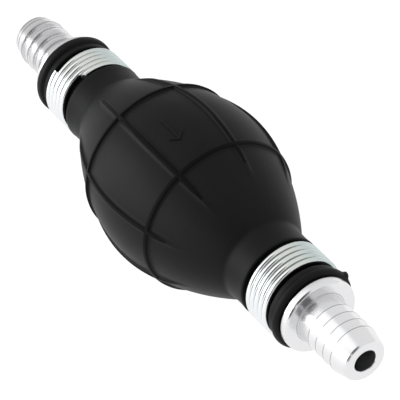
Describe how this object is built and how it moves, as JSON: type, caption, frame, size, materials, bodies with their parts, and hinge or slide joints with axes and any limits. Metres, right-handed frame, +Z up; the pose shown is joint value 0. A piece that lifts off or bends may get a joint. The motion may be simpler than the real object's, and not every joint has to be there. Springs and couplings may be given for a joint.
{
  "type": "siphon bulb pump",
  "caption": "Squeeze-bulb hand pump for siphoning liquid: ribbed rubber bulb, a barbed aluminium hose tail clamped in each neck with spring wire, one-way valve in each tail.",
  "frame": {"origin": "centre of the bulb, on its axis", "axes": "+X along the axis in the direction of flow, from the inlet tail to the outlet tail; +Z up, towards the moulded flow arrow"},
  "size_m": [0.152, 0.0458, 0.0458],
  "materials": {
    "bulb_rubber": "satin moulded",
    "tail_aluminium": "fine turned",
    "clamp_wire": "bright zinc plated",
    "valve_plastic": "moulded acetal",
    "seal_rubber": "nitrile",
    "spring_steel": "stainless"
  },
  "bodies": {
    "pump": {"rubber_bulb": "bulb_rubber", "inlet_hose_tail": "tail_aluminium", "inlet_wire_clamp": "clamp_wire", "inlet_valve_body": "valve_plastic", "inlet_valve_spring": "spring_steel", "inlet_valve_cage": "valve_plastic", "inlet_valve_gasket": "seal_rubber", "inlet_snap_ring": "spring_steel", "outlet_hose_tail": "tail_aluminium", "outlet_wire_clamp": "clamp_wire", "outlet_valve_body": "valve_plastic", "outlet_valve_spring": "spring_steel", "outlet_valve_cage": "valve_plastic", "outlet_valve_gasket": "seal_rubber", "outlet_snap_ring": "spring_steel"},
    "inlet_poppet": {"inlet_valve_poppet": "valve_plastic", "inlet_poppet_seal": "seal_rubber"},
    "outlet_poppet": {"outlet_valve_poppet": "valve_plastic", "outlet_poppet_seal": "seal_rubber"}
  },
  "joints": [
    {"name": "inlet_valve_lift", "type": "slide", "parent": "pump", "child": "inlet_poppet", "axis": [1, 0, 0], "range_m": [0, 0.0025], "stiffness_N_per_m": 20, "springref_m": -0.004, "deforming": ["inlet_valve_spring"]},
    {"name": "outlet_valve_lift", "type": "slide", "parent": "pump", "child": "outlet_poppet", "axis": [1, 0, 0], "range_m": [0, 0.0025], "stiffness_N_per_m": 20, "springref_m": -0.004, "deforming": ["outlet_valve_spring"]}
  ]
}
